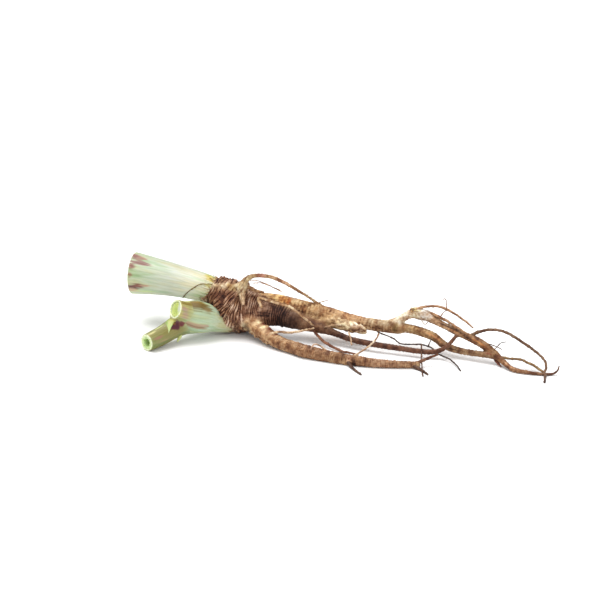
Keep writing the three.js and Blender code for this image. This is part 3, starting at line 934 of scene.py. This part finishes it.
def ribbed(count, depth, crinkled=0):
    """Ribs that run the length of a leaf base, sunk into its skin and never above it.

    Its first millimetres, as many as crinkled says, are shrivelled.
    """

    def skin(place):
        wander = 0.5 * grain(place.straight / (5, 5, 22))
        across = (count * place.angle / (2 * np.pi) + wander) % 1
        groove = np.abs(2 * across - 1) ** 3
        fold = np.maximum(grain(place.straight / (4.5, 4.5, 50) + 7), 0)
        fine = 0.5 + 0.5 * grain(place.straight / (0.6, 0.6, 9))
        shrivel = np.abs(grain(place.straight / (1.3, 1.3, 3)))
        shrivel = shrivel * (1 - eased(place.along, 0.6 * crinkled, crinkled + 0.1))
        height = -depth * groove - 2.2 * depth * fold - 0.06 * fine - 1.1 * shrivel
        return height, 1 - 0.8 * groove - 0.5 * fold - shrivel

    return skin


def resized(stations, margin, shift=(0, 0, 0)):
    """The same line, thicker by a margin, or thinner by a negative one, and moved."""
    return [[x + shift[0], y + shift[1], z + shift[2], r + margin] for x, y, z, r in stations]


def knife_cut(place, facing):
    """A flat cut through a place, and the way it faces."""
    return SimpleNamespace(place=np.array(place), facing=np.array(facing) / np.linalg.norm(facing))


def meets(limb, cut, turn):
    """How far along a limb its skin meets the cut, at angles round it."""
    along, angle = np.meshgrid(limb.along, turn, indexing="ij")
    past = (limb.at(along, angle, limb.reach(along, angle)) - cut.place) @ cut.facing
    return np.array([np.interp(0, np.maximum.accumulate(row), limb.along) for row in past.T])


def cut_leaf(limb, cut, bore=None, depth=0, around=200, spacing=0.7, recess=0, rim=0.3):
    """A leaf base up to the cut: its skin, the cut across its wall, and the hollow inside it.

    The hollow follows the bore, another limb, to a depth. With no bore the stalk is solid. A rim
    with no other corners keeps the edges of the cut crisp.
    """
    turn = np.linspace(0, 2 * np.pi, around, endpoint=False)
    cut = knife_cut(cut.place - cut.facing * recess, cut.facing)
    ends = meets(limb, cut, turn)
    along = np.linspace(0, 1, int(ends.mean() / spacing))[:, None] * (ends - rim)
    skin = limb.at(along, turn, limb.reach(along, turn))
    edge = limb.at(ends, turn, limb.reach(ends, turn))
    if bore is None:
        mouth = np.broadcast_to(edge.mean(0), edge.shape)
        inside = []
    else:
        bore_ends = meets(bore, cut, turn)
        mouth = bore.at(bore_ends, turn, bore.reach(bore_ends, turn))
        down = bore_ends - np.linspace(rim, depth, int(depth / spacing))[:, None]
        down = np.maximum(down, 0)
        inside = list(bore.at(down, turn, bore.reach(down, turn)))
    wall = np.linalg.norm(mouth - edge, axis=1).mean()
    face = []
    for share in np.linspace(0, 1, max(6, int(wall / spacing)) + 1)[1:-1]:
        ring = edge + (mouth - edge) * share
        roughness = 0.25 * np.abs(grain(ring / 0.8))
        face.append(ring - cut.facing * roughness[:, None])
    if bore is None:
        face.append(mouth)
    first = [np.broadcast_to(skin[0].mean(0), edge.shape)]
    last = [np.broadcast_to(inside[-1].mean(0), edge.shape)] if inside else []
    return rolled(np.array([*first, *skin, *face, *inside, *last]))


def fresh_leaf():
    """Fresh leaf base: crisp, wet, a little see-through, with strands along it and pith inside."""
    material, tree, shader = new_material("fresh_leaf_base")
    tint, crest, flesh, straight = [
        add_node(tree, "ShaderNodeAttribute", attribute_name=name)
        for name in ("tint", "crest", "flesh", "straight")
    ]
    where = add_node(tree, "ShaderNodeTexCoord").outputs["Object"]
    drawn_out = [
        add_node(
            tree,
            "ShaderNodeMapping",
            {"Vector": straight.outputs["Vector"], "Scale": [1 / (size * mm) for size in sizes]},
        ).outputs["Vector"]
        for sizes in ((0.9, 0.9, 22), (4, 4, 40))
    ]
    strands, bands = [
        add_node(
            tree, "ShaderNodeTexNoise", {"Vector": vector, "Scale": 1.0, "Detail": detail}
        ).outputs["Fac"]
        for vector, detail in zip(drawn_out, (3.0, 2.0))
    ]
    cells = add_node(
        tree, "ShaderNodeTexVoronoi", {"Vector": where, "Scale": 1 / (1.3 * mm)}, feature="F1"
    ).outputs["Distance"]
    shade, glow, bundles = [
        add_node(tree, "ShaderNodeValToRGB", {"Fac": pattern}) for pattern in (strands, bands, cells)
    ]
    set_ramp(shade, [(0.3, "#E9ECDC"), (0.5, "#F7F8F1"), (0.65, "#FFFFFF")])
    set_ramp(glow, [(0.35, "#D3E6CB"), (0.5, "#FBFCFA"), (0.65, "#FFF6E2")])
    set_ramp(bundles, [(0.12, "#A9BF86"), (0.3, "#F4F6E2"), (0.6, "#FFFFFF")])
    # Darker where the crest is low, in the ribs' grooves, the folds and the shrivelled skin: painted
    # shade.
    valley = add_node(
        tree, "ShaderNodeMapRange", {"Value": crest.outputs["Fac"], "To Min": 0.86, "To Max": 1.0}
    )
    skin = shade.outputs["Color"]
    for layer in (glow.outputs["Color"], valley.outputs["Result"]):
        skin = add_node(
            tree, "ShaderNodeMix", {0: 1.0, 6: skin, 7: layer}, data_type="RGBA", blend_type="MULTIPLY"
        ).outputs[2]
    pattern = add_node(
        tree, "ShaderNodeMix", {0: flesh.outputs["Fac"], 6: skin, 7: bundles.outputs["Color"]},
        data_type="RGBA",
    )
    colour = add_node(
        tree, "ShaderNodeMix", {0: 1.0, 6: tint.outputs["Color"], 7: pattern.outputs[2]},
        data_type="RGBA", blend_type="MULTIPLY",
    )
    tree.links.new(colour.outputs[2], shader.inputs["Base Color"])
    wet = add_node(tree, "ShaderNodeMapRange", {"Value": strands, "To Min": 0.3, "To Max": 0.55})
    tree.links.new(wet.outputs["Result"], shader.inputs["Roughness"])
    shader.inputs["Subsurface Weight"].default_value = 0.25
    shader.inputs["Subsurface Radius"].default_value = (1.0, 1.0, 0.5)
    shader.inputs["Subsurface Scale"].default_value = 1.5 * mm
    add_bumps(tree, shader, (strands, cells), 0.15, 0.5)
    return material


leaf = fresh_leaf()
upper_line = [
    [-13, 2, 24.8, 9], [-19, 4, 26.8, 9.7], [-31, 9, 28.8, 10.6], [-50, 17, 30.6, 12.4],
    [-69, 25, 31.3, 14.7], [-80, 29.5, 31.6, 16],
]
upper_cut = knife_cut((-69.2, 25.3, 31.2), (-0.975, 0.2, 0.03))
sheath_tints = ["#D2C9A2", "#D2D3C6", "#C2C6BB", "#BAC3B0", "#B8C0A2", "#C4CCA0"]
pale_flesh = [(0.1, "#E3E9BE"), (0.6, "#D8E2A8"), (1.4, "#BFD08A"), (4, "#C9D795")]


def leaf_piece(name, meshes, slot, *nodes):
    """One leaf base, from its meshes, in place of its plain solid."""
    piece = joined(name, meshes)
    piece.data.materials.append(leaf)
    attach(piece, "root")
    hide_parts(*nodes)
    return piece


outer_leaf = Limb(
    upper_line, sheath_tints, ribbed(28, 0.1, crinkled=11), wide=1.04, tall=0.96, overlap=0.9
)
outer_bore = Limb(resized(upper_line, -sheath_wall, (0, 0, 0.6)), wide=1.04, tall=0.96)
mesh = cut_leaf(outer_leaf, upper_cut, outer_bore, depth=34, around=300, spacing=0.6)
wine_streaks = [
    [-67.5, 20, 44.3, 7, 5, "#8E5650"],
    [-64, 17.5, 43.6, 6, 3.5, "#A8766A"],
    [-64.5, 14, 42.2, 11, 2.4, "#7C4A3E"],
    [-69.3, 13.5, 40.6, 4, 3.5, "#8E5F54"],
    [-69, 10.8, 26.8, 10, 3.2, "#5F2B29"],
    [-64.3, 8.6, 27.5, 8, 2.2, "#7A453A"],
    [-60.3, 7.3, 27.9, 7, 1.2, "#B5978A"],
    [-69.5, 11.9, 24.3, 5, 2.6, "#AA816E"],
    [-67.5, 12.2, 23, 6, 2, "#C2A688"],
    [-70.6, 10.2, 34.6, 2.2, 2.4, "#AF7F6E"],
    [-60, 10, 23.6, 14, 1.6, "#BBCB96"],
    [-18.6, 3.3, 36.2, 4, 3.5, "#CDBB5E"],
    [-16.6, 0.5, 35, 4, 3, "#CFBB62"],
    [-18.9, -3.4, 32.2, 3, 2, "#D6C884"],
]
dressed(mesh, [outer_leaf], streaks=wine_streaks, flesh=pale_flesh)
leaf_piece("upper_outer_leaf_base_skin", [mesh], "leaf_sheath", "upper_outer_leaf_base")


def torn_threads(name, count, joints, ranges, foot_gap, curl, tints, sides):
    """Torn threads of the crown's skin that still lie along the foot of the outer leaf base.

    The ranges are for where a thread starts along it and round it, how long it is, how far its end
    stands off, how far it turns, and its girth. Its foot keeps a gap from the leaf base.
    """
    lines = []
    for _ in range(count):
        start, angle, length, lift, turn, girth = [chance.uniform(*limits) for limits in ranges]
        steps = np.arange(joints) / (joints - 1)
        along, round_it = start + length * steps, angle + turn * steps
        rise = foot_gap + lift * steps ** curl
        places = outer_leaf.at(along, round_it, outer_leaf.reach(along, round_it) + rise)
        lines.append(np.column_stack([places, girth * (1 - 0.5 * steps)]).tolist())
    threads(name, lines, tints, sides=sides, spacing=1.6)


torn_threads(
    "neck_fringe", 48, 4,
    [(1, 4), (0, 2 * math.pi), (1.5, 4), (0.1, 0.8), (-0.25, 0.25), (0.18, 0.34)],
    foot_gap=0.1, curl=2, tints=["#D9C694", "#BFA077", "#E2D5A8"], sides=4,
)
torn_threads(
    "torn_collar", 80, 5,
    [(0.5, 4), (0.3, 2.1), (2.5, 6.5), (0.2, 1), (-0.2, 0.2), (0.25, 0.55)],
    foot_gap=0.2, curl=1, tints=["#A98D74", "#DCCDB8", "#7E6250", "#E6DCC8", "#96785F"], sides=5,
)

inner_margin = -sheath_wall - leaf_gap
inner_line = upper_line[2:]
inner_leaf = Limb(
    resized(inner_line, inner_margin - rib_room, (0, 0.3, 0.7)), ["#D3DDA6", "#D9E2B0"],
    ribbed(30, 0.14), wide=1.03, tall=0.95, overlap=0.8,
)
inner_bore = Limb(
    resized(inner_line, inner_margin - inner_wall, (0, -0.2, 0.9)), wide=1.03, tall=0.95
)
mesh = cut_leaf(inner_leaf, upper_cut, inner_bore, depth=26, around=220, recess=0.3)
dressed(mesh, [inner_leaf], flesh=pale_flesh)
leaf_piece("upper_inner_leaf_base_skin", [mesh], "leaf_sheath", "upper_inner_leaf_base")

heart_line = [[-45, 15, 30, 6], [-57, 20, 30.9, 8], [-69, 25, 31.3, 8.9], [-78, 28.6, 31.6, 9.4]]
heart_girth = heart_line[2][3]
heart_leaf = Limb(
    resized(heart_line, -rib_room, (0, 0, 0.5)), ["#CFDC8E", "#D6E19A"], ribbed(24, 0.14), tall=0.94,
    overlap=0.7,
)
heart_bore = Limb(resized(heart_line, -rib_room - heart_wall, (0, 0.4, 0.9)), tall=0.94)
meshes = [cut_leaf(heart_leaf, upper_cut, heart_bore, depth=16, around=160, recess=0.5)]
dressed(meshes[0], [heart_leaf], flesh=[(0.1, "#DCE6A4"), (0.8, "#C3D37C"), (3, "#CBD98A")])
for sideways, height, girth in ((0.6, -1.9, 4.3), (-1.6, 3.9, 1.7), (2.2, 3.7, 1.5)):
    line = [[x, y + sideways, z + height, girth * r / heart_girth] for x, y, z, r in heart_line]
    young_leaf = Limb(line, ["#C9D97E", "#D4E08C"], ribbed(16, 0.12), wide=1.1, tall=0.92)
    mesh = cut_leaf(young_leaf, upper_cut, around=90, recess=0.9)
    dressed(mesh, [young_leaf], flesh=[(0.1, "#D9E596"), (1.2, "#B9CC66"), (4, "#AFC65E")])
    meshes.append(mesh)
leaf_piece("upper_heart_leaf_skin", meshes, "leaf_core", "upper_heart_leaf")

# ---- The lower shoot ---------------------------------------------------------------------------
# A short sheath that wraps one leaf stalk and runs out into another: both cut off, one hollow
# and one with a green pith. A torn flap of the sheath hangs over the hollow stalk.

sheath = Limb(
    [
        [-6, -7.6, 7.6, 5.8], [-12, -9.5, 9.2, 6.6], [-18.8, -11.5, 12.3, 9.2],
        [-26.4, -14.2, 14.6, 10.3],
    ],
    ["#B2AC8A", "#C0C6AE", "#B8CAB6", "#AFC2A9"],
    ribbed(30, 0.16),
)
hollow_stalk = Limb(
    [
        [-26, -13, 11.5, 6], [-34.5, -17.5, 10.3, 6.4], [-41, -23.5, 9.2, 6.3], [-46.5, -29, 7.2, 6],
        [-55.5, -37.5, 5.3, 5.4], [-59.5, -41.3, 4.8, 4.6],
    ],
    ["#A0B788", "#919668", "#86834F", "#868149", "#8E8B54", "#9E9C65"],
    ribbed(24, 0.16),
)
wrapped_line = [
    [-16, -10.5, 11.4, 4.8], [-20, -11.8, 12.7, 5.6], [-25, -13.8, 15.4, 6.6], [-32, -17.3, 18.8, 6.8],
    [-38.5, -21, 21.9, 6.9], [-45, -24.7, 25.6, 7.3],
]
wrapped_stalk = Limb(
    wrapped_line, ["#A9BE97", "#A9B98A", "#A3A570", "#B3AD74", "#C6BE84"], ribbed(24, 0.14),
    wide=1.12, tall=0.88,
)
hollow_cut = knife_cut((-55.5, -37.5, 5.3), (-0.66, -0.74, 0.05))
wrapped_cut = knife_cut((-38.5, -21, 21.9), (-0.79, -0.44, 0.43))
stalk_wall, pith_gap = 1.1, 0.2
wrapped_bore = Limb(resized(wrapped_line[2:], -stalk_wall, (-0.5, 0.3, 0)), wide=1.05, tall=0.86)
pith = Limb(
    resized(wrapped_line, -stalk_wall - pith_gap, (-0.5, 0.3, 0)), ["#D3DB8E", "#D8E092"],
    ribbed(20, 0.1), wide=1.05, tall=0.86,
)
stalk_bore = Limb(
    [[-41, -23.5, 9.2, 1.8], [-46.5, -29, 7.2, 2.2], [-55.5, -37.5, 5.3, 2.4], [-63.5, -45, 3.6, 2.5]]
)


def trimmings(limb, cut, margin=1.2, length=25):
    """What a cut takes off a limb: all that lies past it, and a margin round it."""
    turn = np.linspace(0, 2 * np.pi, 40, endpoint=False)
    ends = meets(limb, cut, turn)
    edge = limb.at(ends, turn, limb.reach(ends, turn) + margin)
    edge = edge - cut.facing * ((edge - cut.place) @ cut.facing)[:, None]
    middle = np.broadcast_to(edge.mean(0), edge.shape)
    past = length * cut.facing
    return rolled(np.array([middle, edge, edge + past, middle + past]))


uncut_face, cut_face = 0.5, 0.42  # lengths of a face, before the knife's cuts and after them
lower = grown("lower_shoot", [sheath, hollow_stalk, wrapped_stalk], uncut_face, fillet=1.4)
carvings = [
    trimmings(hollow_stalk, hollow_cut),
    trimmings(wrapped_stalk, wrapped_cut),
    rolled(stalk_bore.rings(40)),
    rolled(wrapped_bore.rings(40)),
]
for carving in carvings:
    tool = joined("carving", [carving])
    carve = lower.modifiers.new("carve", "BOOLEAN")
    carve.operation = "DIFFERENCE"
    carve.object = tool
    lower.data = applied(lower)
    bpy.data.objects.remove(tool)
lower_mesh = wrapped(lower, cut_face)
bpy.data.objects.remove(lower)
evened(lower_mesh, 2)
lower_mesh.shade_smooth()
lower_streaks = [
    [-37.4, -27, 13, 4.5, 2.8, "#5A1430"],
    [-34.5, -24.9, 13.6, 8, 2, "#7C4A38"],
    [-30, -23.6, 13, 10, 1.7, "#94705A"],
    [-24, -23.2, 12, 11, 1.2, "#A98F74"],
    [-21, -21.5, 11.6, 8, 1, "#B09A86"],
    [-33.1, -19, 25.4, 5, 5, "#8C7A1C"],
    [-29.5, -17.6, 24.8, 7, 6, "#7E6C16"],
    [-25.8, -17.1, 24.3, 8, 6, "#846C24"],
    [-21.5, -18.6, 22.5, 8, 4, "#6E5820"],
    [-17.8, -19, 20.8, 5, 3, "#867248"],
    [-30, -15.5, 26.3, 6, 1.2, "#DED593"],
    # painted shade beside the wrapped stalk's cut, where the sheath's mouth lies behind its collar
    [-32.6, -25.1, 23.5, 2.5, 2.4, "#AE9787"],
    [-31.8, -25.6, 20.3, 3.5, 3.4, "#AC9788"],
    [-22.6, -18.9, 6.1, 14, 1.2, "#DAD8AE"],
    [-48.3, -37.6, 8.5, 5, 1.2, "#9C755D"],
    [-45.4, -35.8, 5.9, 6, 1.2, "#A08A60"],
    # painted highlight along the top of the hollow stalk
    [-52.1, -36, 11.2, 5, 1, "#C9C897"],
    [-48.8, -30.7, 12.7, 6, 1, "#C9C897"],
]
torn_marks = [
    [-39.2, -28.4, 12.7, 2.3, "#58142F"],
    [-37, -27, 12.9, 2.5, "#4E0E28"],
    [-34.8, -25.6, 12.9, 1.8, "#6A2A30"],
    [-40.5, -27.3, 15, 1.7, "#B98A35"],  # the torn line under the wrapped stalk
]
dressed(
    lower_mesh, [sheath, hollow_stalk, wrapped_stalk], spots=torn_marks, streaks=lower_streaks,
    flesh=[(0.1, "#DDE0CA"), (1.1, "#D6DDBA"), (1.9, "#B9CB90"), (3, "#A9C37E"), (6, "#93AE66")],
)

flap = Limb(
    [
        [-39, -22.8, 14.8, 2.4], [-41.3, -25.6, 15.6, 3], [-42.3, -29, 13.4, 2.4],
        [-42.6, -32.2, 9.9, 0.7],
    ],
    ["#AB994B", "#AEB066", "#BACB88", "#C6D496"], ribbed(14, 0.1), tall=0.28, spacing=0.5,
)
torn_bit = Limb(
    [[-35.4, -23.6, 6.4, 1], [-35.9, -25.2, 4.8, 1.3], [-37, -25.6, 3, 1], [-37.5, -24.9, 1.4, 0.5]],
    ["#B9C47E", "#D9E2A8"], ribbed(10, 0.08), tall=0.35, spacing=0.4,
)
lower_meshes = [lower_mesh]
for scrap in (flap, torn_bit):
    mesh = rolled(scrap.rings(28))
    dressed(mesh, [scrap])
    lower_meshes.append(mesh)
leaf_piece("lower_outer_leaf_base_skin", lower_meshes, "leaf_sheath", "lower_outer_leaf_base")

mesh = cut_leaf(pith, wrapped_cut, around=120, spacing=0.6, recess=0.7)
wall_of_stalk = [[-34.9, -24.8, 24.5, 4, "#C2C5B9"], [-36, -21.4, 26.4, 2.6, "#C5C8B5"]]
pith_flesh = [(0.1, "#CAD087"), (1.5, "#B4C067"), (3, "#AAB85E"), (6, "#A0B053")]
dressed(mesh, [pith], spots=wall_of_stalk, flesh=pith_flesh)
leaf_piece("lower_inner_leaf_base_skin", [mesh], "leaf_core", "lower_inner_leaf_base")

# ---- Floor, light and camera -----------------------------------------------------------------
# The root lies on a plain pale sheet. One broad soft light stands over it and a weaker one before
# it, in a white room that lights it from all round.

floor_mesh = bpy.data.meshes.new("floor")
bm = bmesh.new()
bmesh.ops.create_circle(bm, cap_ends=True, segments=64, radius=8)
bm.to_mesh(floor_mesh)
bm.free()
floor = bpy.data.objects.new("floor", floor_mesh)
bpy.context.scene.collection.objects.link(floor)
paper, _, paper_shader = new_material("pale_paper")
paper_shader.inputs["Base Color"].default_value = linear("#F4F4F4")
paper_shader.inputs["Roughness"].default_value = 0.9
floor_mesh.materials.append(paper)

room = bpy.data.worlds.new("room")
room.use_nodes = True
white_walls = room.node_tree.nodes["Background"].inputs
white_walls["Color"].default_value = (1, 1, 1, 1)
white_walls["Strength"].default_value = 0.75
bpy.context.scene.world = room
bpy.context.scene.view_settings.view_transform = "Standard"

middle = (cad_low + cad_high) / 2


def soft_light(name, place, width, strength):
    """A far soft light that faces the root, as wide as the angle that it fills, in degrees."""
    lamp = bpy.data.lights.new(name, "SUN")
    lamp.angle = math.radians(width)
    lamp.energy = strength
    light = bpy.data.objects.new(name, lamp)
    bpy.context.scene.collection.objects.link(light)
    light.location = middle + Vector(place)
    light.rotation_euler = (-Vector(place)).to_track_quat("-Z", "Y").to_euler()


soft_light("broad_light", (-0.25, 0.15, 0.9), 46, 2.65)
soft_light("front_light", (0.3, -0.9, 0.5), 31, 0.73)

aim = middle + Vector((-20.9, -3.84, 8.08)) * mm
slope = math.radians(18)  # by which the camera looks down
distance = 0.878
camera = bpy.data.objects.new("camera", bpy.data.cameras.new("camera"))
camera.data.lens = 85
camera.data.sensor_width = 36
camera.data.clip_start = 0.01
camera.location = aim + Vector((0, -math.cos(slope), math.sin(slope))) * distance
camera.rotation_euler = (math.pi / 2 - slope, 0, 0)
bpy.context.scene.collection.objects.link(camera)
bpy.context.scene.camera = camera
